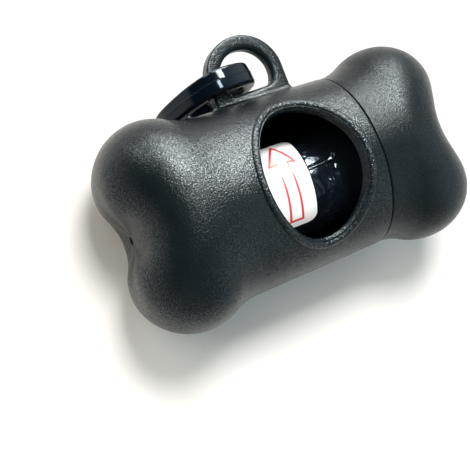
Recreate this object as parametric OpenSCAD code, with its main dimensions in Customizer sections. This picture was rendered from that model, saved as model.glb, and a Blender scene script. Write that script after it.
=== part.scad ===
// Bone-shaped dispenser for a roll of dog waste bags.
// +X runs along the bone's axis towards the cap, +Y towards the hang loop, +Z out of the window.
// The origin is the mouth of the small hole in the closed end, on the axis.

/* [Bone] */
// Length between the hollows of the two ends
bone_len = 76; // [75:0.5:90]
// Diameter of the waist beside the closed end's lobes
belly_d = 41.6; // [40.5:0.1:44]
// Diameter of the waist at the seam
waist_d = 40; // [39.5:0.25:41]
// Width across the two lobes of the closed end
closed_w = 48; // [46:0.5:56]
// Radius of a lobe of the closed end
closed_lobe_r = 12.5; // [11:0.25:14]
// How far the lobes of the closed end stand past the hollow between them
closed_tip = 3.3; // [2:0.1:4.5]
// Radius of the flank between the closed end's lobes and the waist
closed_flank_r = 18; // [12:1:24]
// Width across the two lobes of the cap
cap_w = 46.4; // [44:0.2:50]
// Radius of a lobe of the cap
cap_lobe_r = 11.8; // [10.5:0.1:12.5]
// How far the lobes of the cap stand past the hollow between them
cap_tip = 3.6; // [2:0.1:4.5]
// Radius of the flank between the cap's lobes and its edge
cap_flank_r = 16; // [10:1:18]
// Squareness of the closed end seen from the side, where 2 is a plain ellipse
closed_square = 2.8; // [2.6:0.1:3.4]
// Squareness of the cap seen from the side, where 2 is a plain ellipse
cap_square = 2.3; // [2.2:0.1:3.4]
// How far the closed end's lobes keep their shape towards the top and bottom, where 2 is a soft blend
closed_hold = 4; // [2:0.5:6]
// How far the cap's lobes keep their shape towards the top and bottom, where 2 is a soft blend
cap_hold = 3; // [2:0.5:6]

/* [Shell] */
// Distance from the closed end's hollow to the seam of the cap
seam_x = 53.8; // [53:0.2:56]
// Width of the gap that shows as the seam
seam_gap = 0.25; // [0.1:0.05:0.5]
// How far the cap's edge lies below the body's edge
cap_step = 0.15; // [0:0.05:0.4]
// Thickness of the cap's wall round the neck
cap_rim = 1.6; // [1.2:0.1:2]
// Thickness of the neck's wall round the space for the roll
neck_wall = 1.6; // [1.4:0.1:2]
// Thickness of the closed end's wall
end_wall = 2.6; // [2:0.1:3.5]
// Radius in the corner between the bore and the closed end's wall
bore_corner_r = 5; // [3:0.5:5]
// Thickness of the cap's end wall
cap_wall = 4; // [3:0.1:5]
// Radius in the corner between the cap's bore and its end wall
cap_corner_r = 6.8; // [4:0.2:7]
// Length of the neck
neck_len = 8; // [6:0.5:10]
// Depth of the relief for the screw thread on the neck
thread_relief = 0.6; // [0.3:0.1:0.8]
// Clearance between the neck and the cap's socket, on the radius
neck_fit = 0.05; // [0.02:0.01:0.1]
// Diameter of the small hole in the closed end
vent_d = 2; // [1.5:0.1:3]

/* [Window] */
// Distance from the closed end's hollow to the middle of the window
window_x = 37.7; // [36:0.2:38.5]
// Length of the opening along the bone
window_len = 24; // [18:0.2:25]
// Width of the opening across the bone
window_w = 29.8; // [24:0.2:30]
// Width of the raised lip round the window
lip_w = 1.8; // [1.6:0.1:2.4]
// How far the middle of the lip's round section lies under the surface
lip_sink = 0.3; // [0:0.1:0.8]

/* [Hang loop] */
// Distance from the closed end's hollow to the middle of the loop's hole
loop_x = 38.4; // [36:0.2:40]
// Distance from the bone's axis to the middle of the loop's hole
loop_y = 26; // [25.6:0.2:30]
// Diameter of the loop's hole
loop_hole_d = 12.2; // [11.6:0.2:13]
// Distance from the bone's axis to the straight side of the loop's hole
hole_floor_y = 22.4; // [21:0.2:22.6]
// Width of the loop
loop_w = 18.8; // [18:0.2:20]
// Thickness of the loop
loop_t = 4; // [3:0.2:5]
// Radius on the edges of the loop
loop_edge_r = 1; // [0.5:0.1:1.4]

/* [Clip] */
// Outer width of the clip
clip_w = 18.6; // [18:0.2:20]
// Outer length of the clip
clip_len = 27.4; // [26:0.2:27.6]
// Width of the clip's bar in the clip's plane
clip_bar = 3.4; // [3.2:0.1:3.6]
// Thickness of the clip at its end in the loop
clip_t = 5.2; // [4.8:0.1:5.4]
// Thickness of the clip at its far end
clip_far_t = 4.4; // [4:0.1:5]
// Radius on the edges of the bar
clip_edge_r = 1.1; // [0.6:0.1:1.5]
// Diameter of the gate's pin
pin_d = 1.8; // [1.4:0.1:2.2]
// Clearance round the pin, on the radius
pin_fit = 0.05; // [0.02:0.01:0.1]
// Thickness of the gate
gate_t = 2.2; // [1.8:0.1:2.6]
// Gap between the gate and the frame's cheeks, each side
gate_gap = 0.2; // [0.1:0.05:0.3]

/* [Roll] */
// Length of the roll of bags
roll_len = 51.5; // [48:0.5:52]
// Diameter of the roll of bags
roll_d = 22.4; // [20:0.2:25]
// Outer diameter of the cardboard core
core_d = 12; // [10:0.5:14]
// Wall of the cardboard core
core_wall = 1; // [0.6:0.1:1.5]
// Gap between the roll and the closed end's wall
roll_gap = 4.8; // [4.5:0.1:6]
// Turn from straight down to where the roll touches the bore, in degrees
roll_lean = 14; // [0:1:30]
// Distance from the closed end's hollow to the middle of the paper label
label_x = 36.3; // [30:0.1:38]
// Width of the paper label along the roll
label_w = 11; // [8:0.2:14]
// Length of the paper label round the roll, in degrees
label_turn = 118; // [90:2:150]
// Turn of the label's middle from the top of the roll towards the hang loop, in degrees
label_lean = 9; // [0:1:20]
// Thickness of the paper label
label_t = 0.15; // [0.1:0.05:0.3]
// Length along the roll of the loose end of the first bag
flap_len = 10; // [8:0.5:14]
// Thickness of the loose end of the first bag, with its folds
flap_t = 0.35; // [0.2:0.05:0.4]

/* [Hidden] */
$fn = 96;

round_steps = 64;      // steps round the bone
hollow_steps = 4;      // steps along the hollow between two lobes
lobe_steps = 14;       // steps over a lobe
flank_steps = 6;       // steps down a flank
lip_steps = 56;        // steps round the window's lip
lip_sides = 8;         // sides of the lip's round section
cut = 1;               // how far a cutting body stands past what it cuts
belly_r = belly_d / 2;
waist_r = waist_d / 2;
cap_edge_r = waist_r - cap_step;
neck_r = cap_edge_r - cap_rim - neck_fit;
bore_r = neck_r - neck_wall;
roll_r = roll_d / 2;
cap_x = seam_x + seam_gap;
roll_x = end_wall + roll_gap;
label_gap = 0.4;       // gap along the roll between the label and the loose end
// The roll lies in the bottom of the bore, clear of it by more than its label and loose end
roll_clear = 0.5;
roll_drop = bore_r - roll_r - roll_clear;

// ---- The bone's outline ----------------------------------------------------------------------

function arc(cx, cy, r, from, to, steps, first = 0) =
  [for (i = [first:steps]) let (a = from + (to - from) * i / steps) [cx + r * cos(a), cy + r * sin(a)]];

// Half of the bone's outline in the plane of the lobes, from the hollow on the axis to the waist:
// the hollow, the lobe and the flank are three arcs, each tangent to the next.
function lobe_outline(w, r, tip, flank_r, edge_r) =
  let (
    cx = r - tip,
    cy = w / 2 - r,
    hollow_r = (cx * cx + cy * cy - r * r) / (2 * tip),
    hollow_a = atan2(cy, cx + hollow_r),
    flank_y = edge_r + flank_r,
    flank_x = cx + sqrt(pow(r + flank_r, 2) - pow(flank_y - cy, 2)),
    flank_a = atan2(flank_y - cy, flank_x - cx)
  )
  concat(
    arc(-hollow_r, 0, hollow_r, 0, hollow_a, hollow_steps, 1),
    arc(cx, cy, r, 180 + hollow_a, flank_a, lobe_steps, 1),
    arc(flank_x, flank_y, flank_r, 180 + flank_a, 270, flank_steps, 1)
  );

// Half of the outline seen from the side: a rounded end, then straight.
function side_outline(outline, edge_r, square) =
  let (turn = hollow_steps + lobe_steps, reach = outline[turn - 1][0], e = 2 / square)
  [for (i = [1:len(outline)])
    i < turn
      ? [reach * (1 - pow(cos(90 * i / turn), e)), edge_r * pow(sin(90 * i / turn), e)]
      : [outline[i - 1][0], edge_r]];

// A point of the skin: the two outlines blend with the turn round the axis.
function skin_point(wide, side, turn, hold) =
  let (k = 1 - pow(abs(sin(turn)), hold), x = side[0] + (wide[0] - side[0]) * k,
    r = side[1] + (wide[1] - side[1]) * k)
  [x, r * cos(turn), r * sin(turn)];

// A closed solid from the hollow at x = 0 to a flat face at x = edge_x.
module bone_end(outline, square, hold, waist, edge_r, edge_x) {
  wide = concat(outline, [[edge_x, edge_r]]);
  side = concat(side_outline(outline, waist, square), [[edge_x, edge_r]]);
  rings = len(wide);
  points = concat(
    [[0, 0, 0]],
    [for (i = [0:rings - 1]) for (j = [0:round_steps - 1])
      skin_point(wide[i], side[i], 360 * j / round_steps, hold)]
  );
  faces = concat(
    [for (j = [0:round_steps - 1]) [0, 1 + j, 1 + (j + 1) % round_steps]],
    [for (i = [0:rings - 2]) for (j = [0:round_steps - 1])
      let (a = 1 + i * round_steps, k = (j + 1) % round_steps)
      each [[a + j, a + round_steps + j, a + round_steps + k], [a + j, a + round_steps + k, a + k]]],
    [[for (j = [round_steps - 1:-1:0]) 1 + (rings - 1) * round_steps + j]]
  );
  polyhedron(points = points, faces = faces, convexity = 6);
}

closed_outline = lobe_outline(closed_w, closed_lobe_r, closed_tip, closed_flank_r, belly_r);
cap_outline = lobe_outline(cap_w, cap_lobe_r, cap_tip, cap_flank_r, cap_edge_r);

// ---- Body ------------------------------------------------------------------------------------

// The space for the roll, turned about the axis, with a round corner at its closed end.
module roll_space(depth, corner_r) {
  rotate([0, 90, 0]) rotate_extrude() {
    translate([0, corner_r]) square([bore_r, depth - corner_r]);
    square([bore_r - corner_r, corner_r + cut]);
    translate([bore_r - corner_r, corner_r]) circle(r = corner_r);
  }
}

// The neck behind the seam: a land, a relief for the screw thread and a chamfered lead.
module neck() {
  land = neck_len / 5;
  chamfer = thread_relief;
  translate([seam_x - cut, 0, 0]) rotate([0, 90, 0]) rotate_extrude() polygon([
    [bore_r - cut, 0], [neck_r, 0], [neck_r, cut + land],
    [neck_r - thread_relief, cut + land + thread_relief],
    [neck_r - thread_relief, cut + neck_len - land - thread_relief],
    [neck_r, cut + neck_len - land], [neck_r, cut + neck_len - chamfer],
    [neck_r - chamfer, cut + neck_len], [bore_r - cut, cut + neck_len]
  ]);
}

// Radius of the waist, which narrows from the closed end's flank to the seam.
function waist_radius(x) =
  let (start = closed_outline[len(closed_outline) - 1][0])
  belly_r + (waist_r - belly_r) * (x - start) / (seam_x - start);

// A point of the lip's middle line, just under the skin.
function lip_place(a) =
  let (
    x = window_x + (window_len + lip_w) / 2 * cos(a),
    y = (window_w + lip_w) / 2 * sin(a),
    r = waist_radius(x),
    turn = acos(y / r)
  )
  [x, (r - lip_sink) * cos(turn), (r - lip_sink) * sin(turn)];

function unit(v) = v / norm(v);

// The raised, rounded lip: a round bar bent along the window's edge.
module window_lip() {
  points = [for (i = [0:lip_steps - 1])
    let (
      here = lip_place(360 * i / lip_steps),
      along = unit(lip_place(360 * (i + 0.5) / lip_steps) - lip_place(360 * (i - 0.5) / lip_steps)),
      out = unit([0, here[1], here[2]]),
      side = unit(cross(along, out)),
      up = cross(side, along)
    )
    for (j = [0:lip_sides - 1])
      here + lip_w / 2 * (side * cos(360 * j / lip_sides) + up * sin(360 * j / lip_sides))];
  faces = [for (i = [0:lip_steps - 1]) for (j = [0:lip_sides - 1])
    let (a = i * lip_sides, b = ((i + 1) % lip_steps) * lip_sides, k = (j + 1) % lip_sides)
    each [[a + j, b + j, b + k], [a + j, b + k, a + k]]];
  polyhedron(points = points, faces = faces, convexity = 6);
}

module window_opening() {
  linear_extrude(waist_r + lip_w + cut)
    polygon([for (i = [0:lip_steps - 1]) let (a = 360 * i / lip_steps)
      [window_x + window_len / 2 * cos(a), window_w / 2 * sin(a)]]);
}

// A bar's section with round edges, from x = 0 to w, centred on y = 0.
module round_section(w, t, r) {
  translate([r, -t / 2]) square([w - 2 * r, t]);
  translate([0, r - t / 2]) square([w, t - 2 * r]);
  for (x = [r, w - r]) for (y = [r - t / 2, t / 2 - r]) translate([x, y]) circle(r = r);
}

// The hang loop: a ring with round edges on a straight tab that runs into the body.
module hang_loop() {
  hole_r = loop_hole_d / 2;
  ring_w = loop_w / 2 - hole_r;
  root_y = bore_r + cut;
  translate([loop_x, loop_y, 0]) {
    rotate_extrude() translate([hole_r, 0]) round_section(ring_w, loop_t, loop_edge_r);
    difference() {
      rotate([90, 0, 0]) linear_extrude(loop_y - root_y)
        translate([-loop_w / 2, 0]) round_section(loop_w, loop_t, loop_edge_r);
      cylinder(h = loop_t + 2 * cut, r = loop_w / 2 - loop_edge_r, center = true);
    }
  }
  translate([loop_x - hole_r, root_y, 0]) rotate([90, 0, 90]) linear_extrude(loop_hole_d)
    round_section(hole_floor_y - root_y, loop_t, loop_edge_r);
}

module body_shell() color([0.13, 0.135, 0.14]) difference() {
  union() {
    bone_end(closed_outline, closed_square, closed_hold, belly_r, waist_r, seam_x);
    neck();
    window_lip();
    hang_loop();
    rotate([0, 90, 0]) cylinder(h = end_wall, d = 2 * vent_d);
  }
  translate([end_wall, 0, 0]) roll_space(seam_x + neck_len + cut - end_wall, bore_corner_r);
  window_opening();
  translate([-cut, 0, 0]) rotate([0, 90, 0]) cylinder(h = end_wall + 2 * cut, d = vent_d);
  translate([-cut, 0, 0]) rotate([0, 90, 0]) cylinder(h = cut, d = 2 * vent_d);
}

// ---- Cap -------------------------------------------------------------------------------------

module end_cap() color([0.13, 0.135, 0.14]) difference() {
  translate([bone_len, 0, 0]) rotate([0, 0, 180])
    bone_end(cap_outline, cap_square, cap_hold, cap_edge_r, cap_edge_r, bone_len - cap_x);
  translate([bone_len - cap_wall, 0, 0]) rotate([0, 0, 180])
    roll_space(bone_len - cap_wall - seam_x, cap_corner_r);
  translate([seam_x, 0, 0]) rotate([0, 90, 0]) cylinder(h = neck_len + seam_gap, r = neck_r + neck_fit);
}

// ---- Clip ------------------------------------------------------------------------------------
// The clip is drawn in its own frame: x runs from the bend in the loop to the far bend, z across.

clip_r = clip_w / 2;
clip_straight = clip_len - clip_w;
// Where the clip stands at rest: the middle of the bend that goes through the loop
clip_place = [31.6, 25.2, -3.1];
clip_lean = 7.5;
clip_yaw = 3.7;
clip_slope = 67;
gate_x = clip_straight + 1.4;
gate_z = clip_bar / 2 - clip_r;
gate_eye_r = clip_bar / 2;

module place_clip() {
  translate(clip_place) rotate([clip_lean, 0, 180 + clip_yaw]) rotate([0, clip_slope, 0]) children();
}

module clip_oval() {
  mid = clip_r - clip_bar;
  rotate([90, 0, 0]) {
    rotate([0, 0, 90]) rotate_extrude(angle = 180)
      translate([mid, 0]) round_section(clip_bar, clip_t, clip_edge_r);
    translate([clip_straight, 0, 0]) rotate([0, 0, -90]) rotate_extrude(angle = 180)
      translate([mid, 0]) round_section(clip_bar, clip_t, clip_edge_r);
    for (side = [0, 1]) mirror([0, side, 0]) translate([0, mid, 0])
      rotate([90, 0, 90]) linear_extrude(clip_straight) round_section(clip_bar, clip_t, clip_edge_r);
  }
}

module clip_taper() {
  linear_extrude(2 * clip_w, center = true) polygon([
    [-clip_r - cut, -clip_t / 2 - 0.01], [clip_straight + clip_r + cut, -clip_far_t / 2],
    [clip_straight + clip_r + cut, clip_far_t / 2], [-clip_r - cut, clip_t / 2 + 0.01]
  ]);
}

nose_x = 1.2;
nose_gap = 0.3;

module clip_frame() color([0.04, 0.04, 0.045]) place_clip() difference() {
  intersection() {
    clip_oval();
    clip_taper();
  }
  translate([nose_x, -clip_t, gate_z - clip_bar / 2 - cut])
    cube([gate_x - nose_x, 2 * clip_t, clip_bar + 2 * cut]);
  translate([gate_x, 0, gate_z]) rotate([90, 0, 0])
    cylinder(h = gate_t + 2 * gate_gap, r = gate_eye_r + 2 * gate_gap, center = true);
  translate([gate_x, 0, gate_z]) rotate([90, 0, 0])
    cylinder(h = 2 * clip_t, d = pin_d, center = true);
}

module clip_gate() color([0.04, 0.04, 0.045]) place_clip() {
  difference() {
    union() {
      translate([gate_x, 0, gate_z]) rotate([90, 0, 0])
        cylinder(h = gate_t, r = gate_eye_r, center = true);
      translate([nose_x + nose_gap, -gate_t / 2, gate_z - clip_bar / 2])
        cube([gate_x - nose_x - nose_gap, gate_t, clip_bar]);
    }
    translate([gate_x, 0, gate_z]) rotate([90, 0, 0])
      cylinder(h = 2 * gate_t, r = pin_d / 2 + pin_fit, center = true);
  }
}

module gate_pin() color([0.04, 0.04, 0.045]) place_clip()
  translate([gate_x, 0, gate_z]) rotate([90, 0, 0]) cylinder(h = clip_far_t + 1, d = pin_d, center = true);

// ---- Roll ------------------------------------------------------------------------------------

module along_roll() {
  translate([roll_x, -roll_drop * sin(roll_lean), -roll_drop * cos(roll_lean)]) rotate([0, 90, 0])
    children();
}

// A sheet round the roll from r_in to r_out, with its middle where the label's is.
module roll_sheet(x, len, r_in, r_out, turn) {
  along_roll() translate([0, 0, x]) rotate([0, 0, 180 - label_lean - turn / 2]) rotate_extrude(angle = turn)
    translate([r_in, 0]) square([r_out - r_in, len]);
}

module roll_core() color([0.62, 0.5, 0.36]) along_roll() rotate_extrude()
  translate([core_d / 2 - core_wall, 0]) square([core_wall, roll_len]);

module bag_roll() color([0.03, 0.03, 0.035]) along_roll() rotate_extrude() {
  edge_r = 1.5;
  translate([core_d / 2, 0]) square([roll_r - edge_r - core_d / 2, roll_len]);
  translate([core_d / 2, edge_r]) square([roll_r - core_d / 2, roll_len - 2 * edge_r]);
  for (x = [edge_r, roll_len - edge_r]) translate([roll_r - edge_r, x]) circle(r = edge_r);
}

module roll_label() color([0.93, 0.92, 0.9])
  roll_sheet(label_x - label_w / 2 - roll_x, label_w, roll_r, roll_r + label_t, label_turn);

module loose_bag_end() color([0.03, 0.03, 0.035])
  roll_sheet(label_x + label_w / 2 + label_gap - roll_x, flap_len, roll_r, roll_r + flap_t, label_turn * 0.9);

body_shell();
end_cap();
clip_frame();
clip_gate();
gate_pin();
roll_core();
bag_roll();
roll_label();
loose_bag_end();
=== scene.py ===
import math

import bmesh
import bpy
import numpy as np
from mathutils import Matrix, Vector


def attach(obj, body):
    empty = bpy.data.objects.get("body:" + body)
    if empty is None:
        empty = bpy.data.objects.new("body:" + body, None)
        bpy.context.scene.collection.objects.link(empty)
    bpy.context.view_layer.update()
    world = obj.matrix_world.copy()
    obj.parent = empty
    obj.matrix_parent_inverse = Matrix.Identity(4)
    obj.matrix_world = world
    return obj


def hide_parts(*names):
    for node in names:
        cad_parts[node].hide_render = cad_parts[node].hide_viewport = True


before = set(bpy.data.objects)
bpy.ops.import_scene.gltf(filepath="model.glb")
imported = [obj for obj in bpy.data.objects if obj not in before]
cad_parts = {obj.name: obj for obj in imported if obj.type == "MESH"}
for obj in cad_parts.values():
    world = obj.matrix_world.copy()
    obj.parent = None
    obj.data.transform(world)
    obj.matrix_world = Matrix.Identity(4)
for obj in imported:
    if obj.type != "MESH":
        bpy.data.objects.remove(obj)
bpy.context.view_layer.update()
MM = 0.001

# ---- Sizes shared with the CAD source, in millimetres -------------------------------------------
BONE_LEN, BELLY_R, WAIST_R = 76.0, 20.8, 20.0
SEAM_X, SEAM_GAP, CAP_STEP = 53.8, 0.25, 0.15
BORE_R, NECK_R, NECK_LEN, RELIEF = 16.6, 18.2, 8.0, 0.6
END_WALL, CORNER_R, CAP_WALL, CAP_CORNER_R, VENT_R = 2.6, 5.0, 4.0, 6.8, 1.0
WINDOW_X, WINDOW_A, WINDOW_B, LIP_W = 37.7, 12.0, 14.9, 1.8
LOOP_X, LOOP_Y, LOOP_HOLE_R, LOOP_R, LOOP_T = 38.4, 26.0, 6.1, 9.4, 4.0
HOLE_FLOOR_Y, LOOP_FOOT_Y = 22.4, 17.0
ROLL_X, ROLL_LEN, ROLL_R = 7.4, 51.5, 11.2
ROLL_DROP, ROLL_LEAN = 4.9, math.radians(14)
ROLL_Y, ROLL_Z = -ROLL_DROP * math.sin(ROLL_LEAN), -ROLL_DROP * math.cos(ROLL_LEAN)
LABEL_X, LABEL_W, LABEL_SKEW = 30.8, 11.0, -0.045
FLOOR_Z = -BELLY_R
# The two ends of the bone: (width over the lobes, lobe radius, depth of the hollow, flank radius)
CLOSED_END, CAP_END = (48.0, 12.5, 3.3, 18.0), (46.4, 11.8, 3.6, 16.0)
# How square each end is from the side, and how closely its skin keeps to the side outline
CLOSED_SQUARE, CLOSED_HOLD, CAP_SQUARE, CAP_HOLD = 2.8, 4, 2.3, 3
SOCKET_FIT = 0.05


# ---- Mesh helpers -------------------------------------------------------------------------------
def make(name, verts, faces, material, angle=40.0):
    """A smooth-shaded object from points in millimetres; edges over the angle stay sharp."""
    me = bpy.data.meshes.new(name)
    me.from_pydata([tuple(float(c) * MM for c in v) for v in verts], [], [tuple(f) for f in faces])
    me.validate()
    ob = bpy.data.objects.new(name, me)
    bpy.context.scene.collection.objects.link(ob)
    me.materials.append(material)
    smooth(ob, angle)
    return ob


def smooth(ob, angle):
    me = ob.data
    me.shade_smooth()
    me.set_sharp_from_angle(angle=math.radians(angle))


def fix_normals(ob):
    bm = bmesh.new()
    bm.from_mesh(ob.data)
    bmesh.ops.recalc_face_normals(bm, faces=bm.faces)
    bm.to_mesh(ob.data)
    bm.free()


def grid_faces(rows, cols, closed_cols=True, closed_rows=False, start=0):
    out = []
    for i in range(rows if closed_rows else rows - 1):
        a, b = start + i * cols, start + ((i + 1) % rows) * cols
        for j in range(cols if closed_cols else cols - 1):
            k = (j + 1) % cols
            out.append((a + j, b + j, b + k, a + k))
    return out


def bar_faces(n, start=0):
    """The faces of a closed bar between two rings of n points."""
    return grid_faces(2, n, start=start) + [tuple(range(start, start + n)),
                                            tuple(range(start + 2 * n - 1, start + n - 1, -1))]


def cut_with(ob, cutter, angle):
    """The boolean difference of two objects, put in place of the first one's mesh."""
    mod = ob.modifiers.new("cut", "BOOLEAN")
    mod.object, mod.operation, mod.solver = cutter, "DIFFERENCE", "EXACT"
    dg = bpy.context.evaluated_depsgraph_get()
    cut = bpy.data.meshes.new_from_object(ob.evaluated_get(dg))
    ob.modifiers.clear()
    old = ob.data
    ob.data = cut
    bpy.data.meshes.remove(old)
    bpy.data.objects.remove(cutter)
    smooth(ob, angle)


def arc(cx, cy, r, a0, a1, n, first=0):
    return [(cx + r * math.cos(math.radians(a0 + (a1 - a0) * i / n)),
             cy + r * math.sin(math.radians(a0 + (a1 - a0) * i / n))) for i in range(first, n + 1)]


# Steps over the hollow between the lobes, a lobe, a flank and a full turn
HOLLOW_N, LOBE_N, FLANK_N, ROUND_N = 16, 56, 28, 240


def lobe_outline(w, r, tip, flank_r, edge_r):
    """One end from above, from the axis out to the waist: the hollow, a lobe and a flank, all tangent."""
    cx, cy = r - tip, w / 2 - r
    hollow_r = (cx * cx + cy * cy - r * r) / (2 * tip)
    hollow_a = math.degrees(math.atan2(cy, cx + hollow_r))
    flank_y = edge_r + flank_r
    flank_x = cx + math.sqrt((r + flank_r) ** 2 - (flank_y - cy) ** 2)
    flank_a = math.degrees(math.atan2(flank_y - cy, flank_x - cx))
    return (arc(-hollow_r, 0, hollow_r, 0, hollow_a, HOLLOW_N, 1)
            + arc(cx, cy, r, 180 + hollow_a, flank_a, LOBE_N, 1)
            + arc(flank_x, flank_y, flank_r, 180 + flank_a, 270, FLANK_N, 1))


def side_outline(outline, edge_r, square):
    """One end from the side: a squared ellipse up to the lobe's widest place, then straight."""
    turn = HOLLOW_N + LOBE_N
    reach = outline[turn - 1][0]
    e = 2 / square
    out = []
    for i in range(1, len(outline) + 1):
        if i < turn:
            a = math.radians(90 * i / turn)
            out.append((reach * (1 - math.cos(a) ** e), edge_r * math.sin(a) ** e))
        else:
            out.append((outline[i - 1][0], edge_r))
    return out


def bone_rings(wide, side, hold):
    """Rings that follow the first outline at their sides and the second at top and bottom."""
    rings = []
    for (wx, wr), (sx, sr) in zip(wide, side):
        ring = []
        for j in range(ROUND_N):
            t = 2 * math.pi * j / ROUND_N
            k = 1 - abs(math.sin(t)) ** hold
            r = sr + (wr - sr) * k
            ring.append((sx + (wx - sx) * k, r * math.cos(t), r * math.sin(t)))
        rings.append(ring)
    return rings


def round_ring(x, r):
    return [(x, r * math.cos(2 * math.pi * j / ROUND_N), r * math.sin(2 * math.pi * j / ROUND_N))
            for j in range(ROUND_N)]


def closed_solid(first_x, rings, last_x):
    """A closed skin: a point on the axis, rings, and a point on the axis."""
    verts = [(first_x, 0, 0)] + [v for ring in rings for v in ring] + [(last_x, 0, 0)]
    faces = [(0, 1 + j, 1 + (j + 1) % ROUND_N) for j in range(ROUND_N)]
    faces += grid_faces(len(rings), ROUND_N, start=1)
    last, a = len(verts) - 1, 1 + (len(rings) - 1) * ROUND_N
    faces += [(a + (j + 1) % ROUND_N, a + j, last) for j in range(ROUND_N)]
    return verts, faces


CLOSED = lobe_outline(*CLOSED_END, BELLY_R)
CAP = lobe_outline(*CAP_END, WAIST_R - CAP_STEP)
WAIST_START = CLOSED[-1][0]


def waist_radius(x):
    """The body's radius between the lobes' flanks and the seam."""
    return BELLY_R + (WAIST_R - BELLY_R) * (x - WAIST_START) / (SEAM_X - WAIST_START)


# ---- Materials ----------------------------------------------------------------------------------
def new_material(name):
    m = bpy.data.materials.new(name)
    m.use_nodes = True
    nt = m.node_tree
    return m, nt, nt.nodes["Principled BSDF"]


def node(nt, kind, **inputs):
    """A new node with some of its inputs set; an underscore stands for a space in an input's name."""
    n = nt.nodes.new(kind)
    for key, value in inputs.items():
        n.inputs[key.replace("_", " ")].default_value = value
    return n


def object_coords(nt):
    return nt.nodes.new("ShaderNodeTexCoord").outputs["Object"]


def two_tone(nt, value, dark, light):
    """A colour that runs from dark to light over the middle of a noise's range."""
    r = nt.nodes.new("ShaderNodeValToRGB")
    for element, position, colour in zip(r.color_ramp.elements, (0.3, 0.7), (dark, light)):
        element.position, element.color = position, (*colour, 1)
    nt.links.new(value, r.inputs["Fac"])
    return r.outputs["Color"]


def map_range(nt, value, from_min, from_max, to_min=0.0, to_max=1.0):
    m = node(nt, "ShaderNodeMapRange", From_Min=from_min, From_Max=from_max, To_Min=to_min, To_Max=to_max)
    nt.links.new(value, m.inputs["Value"])
    return m.outputs["Result"]


def bump_from(nt, b, height, strength, depth):
    """A bump of the given depth in millimetres on the shader's normal."""
    bump = node(nt, "ShaderNodeBump", Strength=strength, Distance=depth * MM)
    nt.links.new(height, bump.inputs["Height"])
    nt.links.new(bump.outputs["Normal"], b.inputs["Normal"])


def grained_plastic(name, dark, light, rough, grain_mm, depth, shine=0.5, tint=(1, 1, 1), glint=0.0):
    """Moulded plastic: a fine grain with slightly uneven gloss and colour, and glints on single grains."""
    m, nt, b = new_material(name)
    co = object_coords(nt)
    grain = node(nt, "ShaderNodeTexNoise", Scale=1000 / grain_mm, Detail=2.0, Roughness=0.6)
    patch = node(nt, "ShaderNodeTexNoise", Scale=90.0, Detail=3.0, Roughness=0.55)
    for n in (grain, patch):
        nt.links.new(co, n.inputs["Vector"])
    nt.links.new(two_tone(nt, patch.outputs["Fac"], dark, light), b.inputs["Base Color"])
    uneven = map_range(nt, patch.outputs["Fac"], 0.3, 0.7, rough - 0.04, rough + 0.04)
    nt.links.new(uneven, b.inputs["Roughness"])
    bump_from(nt, b, grain.outputs["Fac"], strength=1.0, depth=depth)
    if glint:
        sparkle = node(nt, "ShaderNodeTexNoise", Scale=1250 / grain_mm, Detail=1.0)
        nt.links.new(co, sparkle.inputs["Vector"])
        level = map_range(nt, sparkle.outputs["Fac"], 0.38, 0.66, 0.4 * shine, shine * (1 + glint))
        nt.links.new(level, b.inputs["Specular IOR Level"])
    else:
        b.inputs["Specular IOR Level"].default_value = shine
    b.inputs["Specular Tint"].default_value = (*tint, 1)
    return m


def film_material():
    """Thin glossy bag film with faint ripples."""
    m, nt, b = new_material("bag_film_black")
    small = node(nt, "ShaderNodeTexNoise", Scale=900.0, Detail=3.0, Roughness=0.5)
    nt.links.new(object_coords(nt), small.inputs["Vector"])
    bump_from(nt, b, small.outputs["Fac"], strength=1.0, depth=0.05)
    nt.links.new(two_tone(nt, small.outputs["Fac"], (0.003, 0.005, 0.008), (0.006, 0.009, 0.013)),
                 b.inputs["Base Color"])
    b.inputs["Roughness"].default_value = 0.16
    b.inputs["Specular Tint"].default_value = (0.75, 0.9, 1.0, 1)
    b.inputs["Specular IOR Level"].default_value = 0.58
    return m


def paper_material(name, dark, light, rough):
    """A matt fibrous surface, for the paper, its ink and the floor."""
    m, nt, b = new_material(name)
    fibre = node(nt, "ShaderNodeTexNoise", Scale=2600.0, Detail=4.0, Roughness=0.7)
    nt.links.new(object_coords(nt), fibre.inputs["Vector"])
    nt.links.new(two_tone(nt, fibre.outputs["Fac"], dark, light), b.inputs["Base Color"])
    bump_from(nt, b, fibre.outputs["Fac"], strength=0.5, depth=0.02)
    b.inputs["Roughness"].default_value = rough
    return m


def ink_material(pale_at, reach):
    """Red ink that turns pale orange round one place on the label."""
    m = paper_material("label_red_ink", (0.6, 0.02, 0.025), (0.72, 0.05, 0.05), rough=0.45)
    nt = m.node_tree
    b = nt.nodes["Principled BSDF"]
    fresh = b.inputs["Base Color"].links[0].from_socket
    away = nt.nodes.new("ShaderNodeVectorMath")
    away.operation = "DISTANCE"
    away.inputs[1].default_value = pale_at
    nt.links.new(object_coords(nt), away.inputs[0])
    mix = nt.nodes.new("ShaderNodeMix")
    mix.data_type = "RGBA"
    mix.inputs["A"].default_value = (0.8, 0.3, 0.2, 1)
    nt.links.new(map_range(nt, away.outputs["Value"], reach * 0.35, reach), mix.inputs["Factor"])
    nt.links.new(fresh, mix.inputs["B"])
    nt.links.new(mix.outputs["Result"], b.inputs["Base Color"])
    return m


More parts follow.
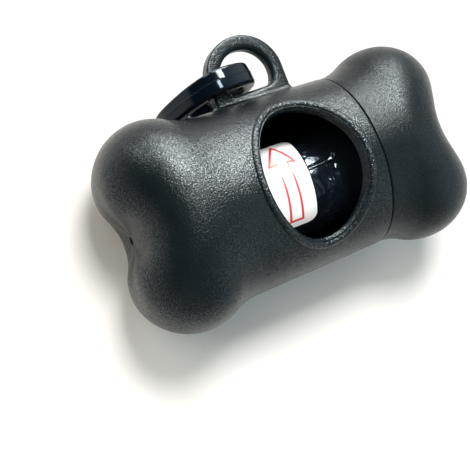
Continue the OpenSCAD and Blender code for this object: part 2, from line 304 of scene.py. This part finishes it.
BLACK = {"dark": (0.0035, 0.0065, 0.008), "light": (0.0055, 0.009, 0.011)}
BLUE_BLACK = {"dark": (0.0012, 0.0028, 0.0055), "light": (0.002, 0.004, 0.0075)}
shell_mat = grained_plastic("shell_matt_black", **BLACK, rough=0.24, grain_mm=0.35, depth=0.11,
                            shine=0.112, tint=(0.9, 0.97, 1.0), glint=1.45)
cap_mat = grained_plastic("cap_matt_black", **BLACK, rough=0.27, grain_mm=0.3, depth=0.085,
                          shine=0.1, tint=(0.9, 0.97, 1.0), glint=0.9)
lip_mat = grained_plastic("lip_matt_black", **BLACK, rough=0.24, grain_mm=0.42, depth=0.28,
                          shine=0.14, tint=(0.88, 0.96, 1.0), glint=2.0)
clip_mat = grained_plastic("clip_gloss_black", **BLUE_BLACK, rough=0.14, grain_mm=2.5, depth=0.02,
                           shine=0.19, tint=(0.7, 0.88, 1.0))
core_mat = grained_plastic("core_cardboard", (0.3, 0.22, 0.13), (0.4, 0.3, 0.19), rough=0.85,
                           grain_mm=0.8, depth=0.06)
film_mat = film_material()
paper_mat = paper_material("label_white_paper", (0.92, 0.92, 0.91), (0.96, 0.96, 0.955), rough=0.55)
floor_mat = paper_material("floor_white", (0.63, 0.61, 0.59), (0.66, 0.64, 0.62), rough=0.9)
floor_mat.node_tree.nodes["Principled BSDF"].inputs["Specular IOR Level"].default_value = 0.0


# ---- Body ---------------------------------------------------------------------------------------
SEAM_ROUND_R, SEAM_STEPS = 0.3, 5


def seam_edge(x, r, r_in):
    """Rings over the softly rounded moulded edge at the seam and in across its flat face."""
    out = []
    for i in range(SEAM_STEPS + 1):
        a = math.radians(90 * i / SEAM_STEPS)
        out.append(round_ring(x - SEAM_ROUND_R * (1 - math.sin(a)), r - SEAM_ROUND_R * (1 - math.cos(a))))
    out.append(round_ring(x, (r + r_in) / 2 - 0.2))
    out.append(round_ring(x, r_in))
    return out


def bore_rings(x_open, x_end, corner_r, steps, corner_steps=12):
    """Rings down the bore from its mouth to the round corner and the flat end."""
    out = [round_ring(x_open + (x_end + corner_r - x_open) * i / steps, BORE_R) for i in range(steps)]
    for i in range(corner_steps + 1):
        a = math.radians(90 * i / corner_steps)
        out.append(round_ring(x_end + corner_r * (1 - math.sin(a)), BORE_R - corner_r * (1 - math.cos(a))))
    out += [round_ring(x_end, (BORE_R - corner_r) * k) for k in (0.8, 0.5, 0.25, 0.08)]
    return out


def build_body():
    """The long part of the housing as one closed skin, outside and bore, with its two holes cut."""
    rings = bone_rings(CLOSED, side_outline(CLOSED, BELLY_R, CLOSED_SQUARE), CLOSED_HOLD)
    steps = 120
    for i in range(1, steps):
        x = WAIST_START + (SEAM_X - SEAM_ROUND_R - WAIST_START) * i / steps
        rings.append(round_ring(x, waist_radius(x)))
    rings += seam_edge(SEAM_X, WAIST_R, NECK_R)
    # The neck: a land at each end, the thread's relief between them, and a chamfered mouth
    land, low = NECK_LEN / 5, NECK_R - RELIEF
    for dx, r in ((land, NECK_R), (land + RELIEF, low), (NECK_LEN - land - RELIEF, low),
                  (NECK_LEN - land, NECK_R), (NECK_LEN - RELIEF, NECK_R), (NECK_LEN, low),
                  (NECK_LEN, BORE_R)):
        rings.append(round_ring(SEAM_X + dx, r))
    rings += bore_rings(SEAM_X + NECK_LEN, END_WALL, CORNER_R, 60)[1:]
    body = make("bone_body", *closed_solid(0, rings, END_WALL), shell_mat)
    fix_normals(body)
    # The window and the small end hole are cut through the wall by one object of two closed bars
    n, top = 256, 26.0
    verts = [(WINDOW_X + WINDOW_A * math.cos(2 * math.pi * i / n),
              WINDOW_B * math.sin(2 * math.pi * i / n), z) for z in (0.0, top) for i in range(n)]
    m, past = 48, 1.0
    verts += [(x, VENT_R * math.cos(2 * math.pi * i / m), VENT_R * math.sin(2 * math.pi * i / m))
              for x in (-past, END_WALL + past) for i in range(m)]
    cutter = make("window_cutter", verts, bar_faces(n) + bar_faces(m, start=2 * n), shell_mat)
    fix_normals(cutter)
    cut_with(body, cutter, 38)
    return body


def lip_point(a):
    """A point on the waist's skin round the window, under the middle of the lip."""
    x = WINDOW_X + (WINDOW_A + LIP_W / 2) * math.cos(a)
    y = (WINDOW_B + LIP_W / 2) * math.sin(a)
    r = waist_radius(x)
    return np.array([x, y, math.sqrt(r * r - y * y)])


def build_lip():
    """The window's raised rounded lip with a fine groove round its outside, swept round the window."""
    n = 320
    profile = [(1.2, -0.14), (1.0, -0.1)]
    profile += [(0.84 * math.cos(t), -0.05 + 0.72 * math.sin(t)) for t in np.linspace(0.1, math.pi, 18)]
    profile += [(-0.9, -0.5), (-0.9, -1.2)]
    verts = []
    for i in range(n):
        a = 2 * math.pi * i / n
        here = lip_point(a)
        along = lip_point(a + 0.01) - lip_point(a - 0.01)
        along /= np.linalg.norm(along)
        out = np.array([0, here[1], here[2]])
        out /= np.linalg.norm(out)
        away = np.cross(along, out)
        away /= np.linalg.norm(away)
        if np.dot(away, here - np.array([WINDOW_X, 0, here[2]])) < 0:
            away = -away
        up = out - np.dot(out, along) * along
        up /= np.linalg.norm(up)
        for s, u in profile:
            verts.append(tuple(here + away * s + up * u))
    faces = grid_faces(n, len(profile), closed_cols=False, closed_rows=True)
    lip = make("window_lip", verts, faces, lip_mat, 60)
    fix_normals(lip)
    smooth(lip, 60)
    return lip


def build_loop():
    """The hang loop: a ring with round edges on a straight tab."""
    n, e, half, squareness = 240, 1.25, LOOP_T / 2, 14
    quarter = [math.radians(90 * k / 8) for k in range(9)]
    foot, floor_gap = LOOP_Y - LOOP_FOOT_Y, LOOP_Y - HOLE_FLOOR_Y
    verts = []
    for i in range(n):
        t = 2 * math.pi * i / n
        c, s = math.cos(t), math.sin(t)
        far, near, skew = LOOP_R, LOOP_HOLE_R, 1.0
        if s < 0:
            # The straight tab: flat sides, a foot inside the body and a flat floor to the hole
            far = min(LOOP_R / max(abs(c), 1e-6), foot / max(-s, 1e-6))
            skew = min(1 / max(abs(c), 0.5), 2.0)
            straight = floor_gap / max(-s, 1e-6)
            near = (LOOP_HOLE_R ** -squareness + straight ** -squareness) ** (-1 / squareness)
        w = far - near
        eo = (0.9 + 0.4 * math.cos(t + math.radians(30))) * skew
        prof = [(e * (1 - math.cos(a)), half - e + e * math.sin(a)) for a in quarter]
        prof += [(e + (w - e - eo) * q, half) for q in (0.33, 0.66)]
        prof += [(w - eo + eo * math.sin(a), half - eo / skew * (1 - math.cos(a))) for a in quarter]
        prof += [(d, -z) for d, z in reversed(prof)]
        verts += [(LOOP_X + (near + d) * c, LOOP_Y + (near + d) * s, z) for d, z in prof]
    ring = make("hang_loop", verts, grid_faces(n, len(verts) // n, closed_rows=True), shell_mat, 50)
    fix_normals(ring)
    smooth(ring, 50)
    return ring


def build_loop_foot():
    """The small fillet where the loop's tab runs into the round body."""
    e, half_w, half_t, fillet = 1.0, LOOP_R, LOOP_T / 2, 0.9
    path = []
    for cx, cz, a0 in ((half_w - e, half_t - e, 0), (-half_w + e, half_t - e, 90),
                       (-half_w + e, -half_t + e, 180), (half_w - e, -half_t + e, 270)):
        for k in range(13):
            a = math.radians(a0 + 90 * k / 12)
            path.append((cx + e * math.cos(a), cz + e * math.sin(a), math.cos(a), math.sin(a)))
    verts, rows = [], 12
    for px, pz, nx, nz in path:
        for q in range(rows):
            h = fillet * (q / (rows - 1)) ** 1.5
            d = fillet - math.sqrt(max(fillet ** 2 - (fillet - h) ** 2, 0))
            x, z = LOOP_X + px + nx * d, pz + nz * d
            r = waist_radius(x)
            verts.append((x, math.sqrt(r * r - z * z) + h - 0.02, z))
    faces = grid_faces(len(path), rows, closed_cols=False, closed_rows=True)
    foot = make("hang_loop_foot", verts, faces, shell_mat, 80)
    fix_normals(foot)
    smooth(foot, 80)
    return foot


def join(target, *others):
    """The other objects joined into the first."""
    bpy.ops.object.select_all(action="DESELECT")
    for o in others:
        o.select_set(True)
    target.select_set(True)
    bpy.context.view_layer.objects.active = target
    bpy.ops.object.join()
    return target


body = join(build_body(), build_lip(), build_loop(), build_loop_foot())
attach(body, "shell")
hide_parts("body_shell")


# ---- Screw thread in the neck's relief ----------------------------------------------------------
def build_thread():
    """A low ridge that winds round the neck's relief and fades out at both ends."""
    turns, n = 1.25, 260
    depth, root = 0.45, NECK_R - RELIEF
    x0, x1, run_out = SEAM_X + 2.9, SEAM_X + 5.1, 0.06
    ridge = ((-0.75, -0.1), (-0.3, depth), (0.3, depth), (0.75, -0.1))
    verts = []
    for i in range(n):
        f = i / (n - 1)
        a = 2 * math.pi * turns * f
        x = x0 + (x1 - x0) * f
        fade = min(1.0, f / run_out, (1 - f) / run_out)
        for s, h in ridge:
            r = root + (h * fade if h > 0 else h)
            verts.append((x + s, r * math.cos(a), r * math.sin(a)))
    return make("neck_thread", verts, grid_faces(n, 4, closed_cols=False), shell_mat, 30)


thread = build_thread()
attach(thread, "shell")


# ---- Cap ----------------------------------------------------------------------------------------
def build_cap():
    """The cap, built from its outer end like the body and then turned round."""
    edge_r = WAIST_R - CAP_STEP
    rings = bone_rings(CAP, side_outline(CAP, edge_r, CAP_SQUARE), CAP_HOLD)
    start, end = CAP[-1][0], BONE_LEN - SEAM_X - SEAM_GAP
    steps = 24
    for i in range(1, steps):
        x = start + (end - SEAM_ROUND_R - start) * i / steps
        rings.append(round_ring(x, edge_r))
    sock = BONE_LEN - SEAM_X - NECK_LEN - SEAM_GAP
    rings += seam_edge(end, edge_r, NECK_R + SOCKET_FIT)
    rings += [round_ring(sock, NECK_R + SOCKET_FIT), round_ring(sock, BORE_R)]
    rings += bore_rings(sock, CAP_WALL, CAP_CORNER_R, 8)[1:]
    verts, faces = closed_solid(0, rings, CAP_WALL)
    cap = make("bone_cap", [(BONE_LEN - x, y, z) for x, y, z in verts], faces, cap_mat, 38)
    fix_normals(cap)
    smooth(cap, 38)
    return cap


cap = build_cap()
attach(cap, "cap")
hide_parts("end_cap")


# ---- CAD nodes that show as they are ------------------------------------------------------------
for name, material in (("clip_gate", clip_mat), ("gate_pin", clip_mat), ("roll_core", core_mat)):
    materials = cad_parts[name].data.materials
    materials.clear()
    materials.append(material)


# ---- Clip ---------------------------------------------------------------------------------------
CLIP_PLACE = Vector((31.6, 25.2, -3.1))
CLIP_TURN = (Matrix.Rotation(math.radians(183.7), 3, "Z") @ Matrix.Rotation(math.radians(7.5), 3, "X")
             @ Matrix.Rotation(math.radians(67), 3, "Y"))
CLIP_R, CLIP_BAR, CLIP_STRAIGHT, CLIP_T, CLIP_FAR_T = 9.3, 3.4, 8.8, 5.2, 4.4
CLIP_EDGE_R, CLIP_DRAFT = 0.75, 0.08
NOSE_X, GATE_X, GATE_Z, POCKET_R, POCKET_T = 1.2, 10.2, -7.6, 2.1, 2.6


def clip_section():
    """The bar's section as (out from the ring's inside, across), with a fine parting line."""
    half, r = CLIP_T / 2, CLIP_EDGE_R
    out = [(CLIP_BAR + 0.05, 0.0), (CLIP_BAR + 0.05, 0.1), (CLIP_BAR, 0.16)]
    out += [(CLIP_BAR - CLIP_DRAFT * q, 0.16 + (half - r - 0.16) * q) for q in (0.25, 0.5, 0.75)]
    out += arc(CLIP_BAR - CLIP_DRAFT - r, half - r, r, 0, 90, 10)
    out += arc(r + CLIP_DRAFT, half - r, r, 90, 180, 10)
    out += [(CLIP_DRAFT * q, (half - r) * q) for q in (0.75, 0.5, 0.25)]
    upper = out + [(0.0, 0.0)]
    return upper + [(w, -t) for w, t in reversed(upper[1:-1])]


def clip_path(n=200):
    """The ring's outside as (x, z, outward x, outward z): one smooth squared oval."""
    long_r, short_r, e = CLIP_R + CLIP_STRAIGHT / 2, CLIP_R, 2 / 2.5

    def at(a):
        c, d = math.cos(a), math.sin(a)
        return (CLIP_STRAIGHT / 2 + long_r * math.copysign(abs(c) ** e, c),
                short_r * math.copysign(abs(d) ** e, d))

    out = []
    for i in range(n):
        a = 2 * math.pi * (i + 0.5) / n
        (xa, za), (xb, zb) = at(a - 0.01), at(a + 0.01)
        length = math.hypot(xb - xa, zb - za)
        out.append((*at(a), (zb - za) / length, -(xb - xa) / length))
    return out


def build_clip():
    """The clip's ring, open between the nose and the gate's hinge, with a pocket for the gate's eye."""
    def placed(points):
        return [tuple(CLIP_PLACE + CLIP_TURN @ Vector(q)) for q in points]

    section = clip_section()
    points = []
    for x, z, ox, oz in clip_path():
        for w, t in section:
            inset = CLIP_BAR - w
            px = x - ox * inset
            taper = 1 + (CLIP_FAR_T / CLIP_T - 1) * (px + CLIP_R) / (2 * CLIP_R + CLIP_STRAIGHT)
            points.append((px, t * taper, z - oz * inset))
    faces = grid_faces(len(points) // len(section), len(section), closed_rows=True)
    ring = make("clip_ring", placed(points), faces, clip_mat, 30)
    fix_normals(ring)
    low, high, wide = GATE_Z - CLIP_BAR, GATE_Z + CLIP_BAR, 9
    box = [(x, y, z) for z in (low, high)
           for x, y in ((NOSE_X, -wide), (GATE_X, -wide), (GATE_X, wide), (NOSE_X, wide))]
    cutter = make("gap_cutter", placed(box), bar_faces(4), clip_mat)
    fix_normals(cutter)
    cut_with(ring, cutter, 30)
    n = 64
    eye = [(GATE_X + POCKET_R * math.cos(2 * math.pi * i / n), y,
            GATE_Z + POCKET_R * math.sin(2 * math.pi * i / n))
           for y in (-POCKET_T / 2, POCKET_T / 2) for i in range(n)]
    cutter = make("pocket_cutter", placed(eye), bar_faces(n), clip_mat)
    fix_normals(cutter)
    cut_with(ring, cutter, 30)
    return ring


clip = build_clip()
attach(clip, "clip")
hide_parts("clip_frame")


# ---- Roll ---------------------------------------------------------------------------------------
FILM_IN, FILM_HOLE_R, FILM_END_ROUND = 0.15, 6.0, 1.5
GATHER_DEPTH, GATHER_TOP, LABEL_BLEND = 0.6, 0.98, 0.6


def on_roll(x, turn, r):
    """A point round the roll: turn in radians from straight up, positive towards -Y."""
    return (x, ROLL_Y - r * math.sin(turn), ROLL_Z + r * math.cos(turn))


def line_place(x, s, line):
    """Distance from a polyline of (x, mm round the roll), the side it lies on and how far along it is."""
    near, side, along = np.full(x.shape, 1e9), np.zeros(x.shape), np.zeros(x.shape)
    total = sum(math.dist(a, b) for a, b in zip(line[:-1], line[1:]))
    before = 0.0
    for (ax, ay), (bx, by) in zip(line[:-1], line[1:]):
        dx, dy = bx - ax, by - ay
        length = math.hypot(dx, dy)
        t = np.clip(((x - ax) * dx + (s - ay) * dy) / length ** 2, 0, 1)
        d = np.hypot(x - ax - t * dx, s - ay - t * dy)
        closer = d < near
        near = np.where(closer, d, near)
        side = np.where(closer, np.sign(dx * (s - ay) - dy * (x - ax)), side)
        along = np.where(closer, (before + t * length) / total, along)
        before += length
    return near, side, along


def fold(x, s, line, height, near_w, far_w):
    """A fold of film with a sharp crest: its width differs on its two sides, and it fades at both ends."""
    d, side, along = line_place(x, s, line)
    width = np.where(side > 0, near_w, far_w)
    fade = np.clip(np.minimum(along, 1 - along) / 0.35, 0, 1)
    return height * fade * np.exp(-(d / width) ** 1.3)


def facet(x, s, corners, lean, lift):
    """A flat patch of film inside a convex outline, facing along lean, as (height, inside)."""
    inside = np.ones(x.shape)
    n = len(corners)
    for (ax, ay), (bx, by) in zip(corners, corners[1:] + corners[:1]):
        length = math.hypot(bx - ax, by - ay)
        d = ((bx - ax) * (s - ay) - (by - ay) * (x - ax)) / length
        inside = np.minimum(inside, np.clip(d / 0.06 + 0.5, 0, 1))
    cx, cs = sum(c[0] for c in corners) / n, sum(c[1] for c in corners) / n
    turn = cs / ROLL_R
    out = -lean[1] * math.sin(turn) + lean[2] * math.cos(turn)
    round_ = -lean[1] * math.cos(turn) - lean[2] * math.sin(turn)
    return lift - lean[0] / out * (x - cx) - round_ / out * (s - cs) + (s - cs) ** 2 / (2 * ROLL_R), inside


def teeth(line, width, pitch):
    """Short patches in a row along a line, like the lay of a twisted strand."""
    out, w = [], width / 2
    for (ax, ay), (bx, by) in zip(line[:-1], line[1:]):
        length = math.hypot(bx - ax, by - ay)
        ux, uy = (bx - ax) / length, (by - ay) / length
        n = max(1, round(length / pitch))
        for k in range(n):
            f, t = length * k / n, length * (k + 0.92) / n
            out.append([(ax + ux * q + uy * v, ay + uy * q - ux * v)
                        for q, v in ((f, w), (t, w), (t, -w), (f, -w))])
    return out


def build_film():
    """The roll's outer turns of film: taut under the label, gathered into folds and creases beside it."""
    rng = np.random.default_rng(7)
    rows, cols = 601, 560
    first_x, last_x = ROLL_X + FILM_IN, ROLL_X + ROLL_LEN - FILM_IN
    x = np.linspace(first_x, last_x, rows)[:, None] * np.ones((1, cols))
    turn = (np.arange(cols) * 2 * math.pi / cols - math.pi)[None, :] * np.ones((rows, 1))
    s = turn * ROLL_R
    edge = LABEL_X + LABEL_W
    # How far each point is clear of the label, 0 under it and 1 beside it
    beside = np.clip((x - edge + 0.1 - LABEL_SKEW * s) / LABEL_BLEND, 0, 1)
    beside = beside + np.clip((LABEL_X - x + LABEL_SKEW * s) / LABEL_BLEND, 0, 1)
    h = np.zeros(x.shape)
    # Creases all round, fanning out from the label's edges
    for k in range(170):
        side = 1 if k % 5 < 3 else -1
        x0 = (edge + 0.1) if side > 0 else (LABEL_X - 0.1)
        s0 = rng.uniform(-35, 35)
        ang = rng.normal(0, 0.75)
        length = rng.uniform(2.5, 9.0)
        x1, s1 = x0 + side * length * math.cos(ang), s0 + length * math.sin(ang)
        bend = rng.normal(0, 0.5)
        mid = ((x0 + x1) / 2 + bend, (s0 + s1) / 2 + bend)
        in_view = side > 0 and -9 < s0 < 10
        h += fold(x, s, [(x0, s0), mid, (x1, s1)], rng.uniform(0.12, 0.32) * (0.25 if in_view else 1.0),
                  rng.uniform(0.2, 0.5), rng.uniform(0.2, 0.5))
    # Folds seen through the window, as crest lines: (line, height, width on its two sides)
    seen = [
        ([(41.6, 0.4), (42.5, 1.5), (43.0, 3.7), (43.9, 6.5)], 0.2, 0.4, 0.14),
        ([(41.7, 0.0), (42.8, 2.0), (43.8, 4.9), (45.0, 8.0)], 0.2, 0.36, 0.12),
        ([(43.3, -0.4), (44.1, 2.0), (44.4, 5.2), (45.4, 8.6)], 0.26, 0.45, 0.14),
        ([(45.3, 0.5), (46.2, 2.8), (46.0, 4.8), (45.4, 8.2)], 0.18, 0.4, 0.14),
        ([(46.2, -0.6), (46.8, 2.8), (46.5, 4.4), (45.9, 7.6)], 0.28, 0.5, 0.16),
        ([(41.6, -1.5), (42.5, -0.95), (42.9, -0.2), (43.2, 0.6)], 0.2, 0.4, 0.14),
        ([(47.6, 0.8), (47.3, 3.4), (46.9, 6.0), (47.2, 8.4)], 0.25, 0.55, 0.2),
        ([(49.2, 0.3), (49.0, 3.4), (49.6, 7.0)], 0.25, 0.8, 0.6),
        ([(41.5, -7.6), (44.0, -7.0), (47.5, -7.4), (51.0, -7.2)], 0.35, 0.7, 0.5),
    ]
    for line, height, near_w, far_w in seen:
        h += fold(x, s, line, height, near_w, far_w)
    h += 0.1 * np.sin(x * 0.9 + 1.3 * np.sin(s * 0.35)) + 0.06 * np.sin(s * 1.1 + x * 0.5)
    h = np.clip(h + 0.08, -0.15, 0.95)
    # The twisted strand, and the flat facets of the pulled film on both sides of it
    strand = [(41.0, -2.6), (43.0, -2.8), (44.5, -2.9), (46.0, -3.25), (47.3, -3.6), (48.6, -4.05),
              (51.0, -5.1)]
    d, side, along = line_place(x, s, strand)
    across = d * side
    half = 0.48 + 0.2 * along
    on = np.clip((half + 0.08 - d) / 0.1, 0, 1)
    h = h * (1 - on) + (0.6 - 0.42 * across) * on
    back, top = (-0.129, 0.297, 0.946), (-0.276, 0.135, 0.951)
    facets = [
        ([(42.0, -4.6), (43.3, -5.25), (44.6, -5.05), (46.5, -3.95), (44.8, -3.3), (43.0, -3.1),
          (41.6, -3.4)], back, 0.5),
        ([(48.45, -1.85), (49.2, -1.25), (48.45, -0.1), (48.2, -0.45)], top, 0.62),
        ([(47.85, -1.75), (48.0, -1.7), (48.2, -0.45), (48.0, -0.4)], top, 0.6),
        ([(46.9, -1.75), (47.05, -1.7), (47.35, -0.65), (47.2, -0.6)], top, 0.55),
        ([(47.1, -2.9), (48.2, -3.35), (48.9, -3.3), (48.5, -2.55), (47.6, -2.5)], top, 0.7),
        ([(48.4, -3.2), (49.1, -4.3), (49.35, -4.25), (48.7, -3.1)], top, 0.75),
        ([(49.0, -3.0), (49.7, -4.1), (49.95, -4.0), (49.25, -2.9)], top, 0.75),
    ]
    above = teeth([(42.3, -2.2), (43.4, -2.38), (45.4, -2.42), (47.3, -2.8)], 0.3, 0.7)
    below = teeth([(46.1, -3.95), (47.2, -4.15), (48.7, -4.75)], 0.28, 0.6)
    facets += [(quad, top, 0.6) for quad in above] + [(quad, top, 0.72) for quad in below]
    for corners, lean, lift in facets:
        flat, inside = facet(x, s, corners, lean, lift)
        h = h * (1 - inside) + flat * inside
    h = np.minimum(h, GATHER_TOP)
    taut = ROLL_R - 0.03 + 0.008 * np.sin(x * 1.7 + 0.9 * np.sin(s * 0.3))
    taut = taut + 0.006 * np.sin(x * 0.6 + s * 0.45)
    beside = np.clip(beside, 0, 1)
    r = taut * (1 - beside) + beside * (ROLL_R - GATHER_DEPTH + h)
    ends = np.clip(np.minimum(x - ROLL_X, ROLL_X + ROLL_LEN - x) / 1.6, 0, 1)
    r = r - 0.9 * (1 - np.sqrt(1 - (1 - ends) ** 2))
    y = ROLL_Y - r * np.sin(turn)
    z = ROLL_Z + r * np.cos(turn)
    verts = np.stack([x.ravel(), y.ravel(), z.ravel()], 1)
    film = make("bag_film", verts, grid_faces(rows, cols), film_mat, 180)
    # Wound end faces, with the film's edges as shallow rings
    ends_v, ends_f = [], []
    n, m = 120, 40
    for x_end, way in ((first_x, -1), (last_x, 1)):
        ends_f += grid_faces(m, n, start=len(ends_v))
        for q in range(m):
            r_end = FILM_HOLE_R + (ROLL_R - FILM_END_ROUND - FILM_HOLE_R) * q / (m - 1)
            for j in range(n):
                inset = 0.1 * abs(math.sin(q * 1.9 + 0.3 * math.sin(j * 0.21)))
                ends_v.append(on_roll(x_end - way * inset, 2 * math.pi * j / n, r_end))
    caps = make("bag_film_ends", ends_v, ends_f, film_mat, 60)
    return join(film, caps)


film = build_film()
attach(film, "roll")
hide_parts("bag_roll", "loose_bag_end")


# ---- Label and its arrow ------------------------------------------------------------------------
LABEL_R = ROLL_R + 0.1
LABEL_FROM, LABEL_TO = math.radians(-68), math.radians(50)
LABEL_CORNER, INK_W = 2.3, 0.56


def label_span(u):
    """The label's two edges along the roll at the turn u; its corners are round."""
    d = min((u - LABEL_FROM) * LABEL_R, (LABEL_TO - u) * LABEL_R)
    inset = 0.0
    if d < LABEL_CORNER:
        inset = LABEL_CORNER - math.sqrt(max(LABEL_CORNER ** 2 - (LABEL_CORNER - d) ** 2, 0))
    return LABEL_X + inset, LABEL_X + LABEL_W - inset


def build_label(nu=120, nv=60):
    """The paper band round the roll."""
    verts = []
    for i in range(nu + 1):
        u = LABEL_FROM + (LABEL_TO - LABEL_FROM) * i / nu
        xa, xb = label_span(u)
        for j in range(nv + 1):
            verts.append(on_roll(xa + (xb - xa) * j / nv + LABEL_SKEW * u * LABEL_R, u, LABEL_R))
    return make("roll_label_paper", verts, grid_faces(nu + 1, nv + 1, closed_cols=False), paper_mat, 60)


label = build_label()
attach(label, "roll")
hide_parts("roll_label")


def printed_line(points, width, r):
    """A closed printed line through points (x along the roll, mm round it), as faces and their corners."""
    pts = [Vector(p) for p in points]
    verts, faces = [], []
    for a, b in zip(pts, pts[1:] + pts[:1]):
        d = (b - a).normalized()
        side = Vector((-d.y, d.x)) * width / 2
        a2, b2 = a - d * width / 2, b + d * width / 2
        steps = max(2, int((b2 - a2).length / 0.3))
        base = len(verts)
        for k in range(steps + 1):
            p = a2 + (b2 - a2) * k / steps
            for s in (-1, 0, 1):
                q = p + side * s
                verts.append(on_roll(q.x, q.y / r, r))
        for k in range(steps):
            for s in range(2):
                v = base + k * 3 + s
                faces.append((v, v + 3, v + 4, v + 1))
    return verts, faces


ARROW = [(37.65, -11.9), (33.9, -5.85), (35.75, -5.95), (34.65, 8.05), (37.75, 8.05), (38.4, -5.8),
         (40.05, -5.4)]
ink_mat = ink_material([c * MM for c in on_roll(36.6, -5.2 / LABEL_R, LABEL_R)], 3.4 * MM)
ink = make("label_arrow", *printed_line(ARROW, INK_W, LABEL_R + 0.03), ink_mat, 60)
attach(ink, "roll")


# ---- Stage, light and camera --------------------------------------------------------------------
bpy.ops.mesh.primitive_plane_add(size=6.0, location=(0.03, 0, FLOOR_Z * MM))
floor = bpy.context.object
floor.name = "floor"
floor.data.materials.append(floor_mat)

# The studio's plain surroundings: (direction, strength, colour) of broad soft glows on a dark room
SURROUNDINGS = [
    ((0.0, -1.0, 0.25), 0.55, (0.78, 0.95, 1.0)),
    ((1.0, -0.15, 0.2), 1.8, (0.88, 0.97, 1.0)),
]


def build_world():
    """The sum of the surroundings' glows as the world's light."""
    world = bpy.data.worlds.new("studio")
    bpy.context.scene.world = world
    world.use_nodes = True
    nt = world.node_tree
    bg = nt.nodes["Background"]
    co = nt.nodes.new("ShaderNodeTexCoord").outputs["Generated"]
    total = None
    for direction, strength, colour in SURROUNDINGS:
        dot = nt.nodes.new("ShaderNodeVectorMath")
        dot.operation = "DOT_PRODUCT"
        dot.inputs[1].default_value = Vector(direction).normalized()
        nt.links.new(co, dot.inputs[0])
        glow = node(nt, "ShaderNodeMapRange", From_Min=0.1, From_Max=1.0)
        glow.interpolation_type = "SMOOTHERSTEP"
        nt.links.new(dot.outputs["Value"], glow.inputs["Value"])
        tint = nt.nodes.new("ShaderNodeVectorMath")
        tint.operation = "SCALE"
        tint.inputs[0].default_value = [c * strength for c in colour]
        nt.links.new(glow.outputs["Result"], tint.inputs["Scale"])
        if total is None:
            total = tint.outputs["Vector"]
        else:
            add = nt.nodes.new("ShaderNodeVectorMath")
            add.operation = "ADD"
            nt.links.new(total, add.inputs[0])
            nt.links.new(tint.outputs["Vector"], add.inputs[1])
            total = add.outputs["Vector"]
    nt.links.new(total, bg.inputs["Color"])
    bg.inputs["Strength"].default_value = 1.0


build_world()
view = bpy.context.scene.view_settings
view.view_transform, view.look, view.exposure, view.gamma = "Standard", "None", 0.0, 1.0


MIDDLE = Vector((0.035, 0.0, 0.0))


def light_from(name, direction, distance, size, power, colour, size_y=None):
    """An area light in a direction from the bone's middle, facing it."""
    data = bpy.data.lights.new(name, "AREA")
    data.energy, data.color, data.size = power, colour, size
    if size_y:
        data.shape, data.size_y = "RECTANGLE", size_y
    ob = bpy.data.objects.new(name, data)
    bpy.context.scene.collection.objects.link(ob)
    place = MIDDLE + Vector(direction).normalized() * distance
    ob.location = place
    ob.rotation_euler = (MIDDLE - place).to_track_quat("-Z", "Y").to_euler()
    return ob


def at_angle(azimuth, elevation):
    """A direction from its angle round from +X and its height over the floor, in degrees."""
    az, el = math.radians(azimuth), math.radians(elevation)
    return (math.cos(az) * math.cos(el), math.sin(az) * math.cos(el), math.sin(el))


# The softboxes only light the surfaces; the windows and the lamp only show as highlights
for name, direction, distance, size, power, colour in (
        ("overhead_softbox", (0.05, 0.42, 0.91), 0.6, 0.17, 4.9, (1.0, 1.0, 1.0)),
        ("left_softbox", (-0.5, 0.3, 0.8), 0.6, 0.3, 1.95, (1.0, 0.94, 0.82))):
    light_from(name, direction, distance, size, power, colour).visible_glossy = False
for name, direction, distance, size, power, colour, size_y in (
        ("window_high", at_angle(72, 53), 0.5, 0.17, 10.0, (1.0, 1.0, 0.98), 0.14),
        ("window_low", at_angle(72, 24), 0.5, 0.42, 12.5, (0.98, 1.0, 0.98), 0.34),
        ("window_side", at_angle(114, 15), 0.5, 0.1, 1.6, (0.95, 1.0, 1.0), 0.2),
        ("ceiling_lamp", (-0.12, 0.30, 0.95), 0.5, 0.08, 1.3, (1.0, 1.0, 1.0), 0.08)):
    light_from(name, direction, distance, size, power, colour, size_y=size_y).visible_diffuse = False

# The fitted camera: its lens, its turn, and where the frame's origin lies in its view (millimetres)
FOCAL_PX, PICTURE_PX, SENSOR_MM = 1150, 470, 36
TURN_Z, TURN_Y, TURN_X = math.radians(20.93), math.radians(20.22), -0.011
ORIGIN_IN_VIEW = Vector((-22.2, -1.36, -246.7))
cam_data = bpy.data.cameras.new("camera")
cam = bpy.data.objects.new("camera", cam_data)
bpy.context.scene.collection.objects.link(cam)
bpy.context.scene.camera = cam
cam_data.sensor_width = SENSOR_MM
cam_data.lens = FOCAL_PX * SENSOR_MM / PICTURE_PX
cam_data.clip_start, cam_data.clip_end = 0.01, 20.0
rows = Matrix.Rotation(TURN_Z, 3, "Z") @ Matrix.Rotation(TURN_Y, 3, "Y") @ Matrix.Rotation(TURN_X, 3, "X")
place = -(rows.transposed() @ ORIGIN_IN_VIEW) * MM
cam.matrix_world = Matrix.Translation(place) @ rows.transposed().to_4x4()

bpy.context.view_layer.update()
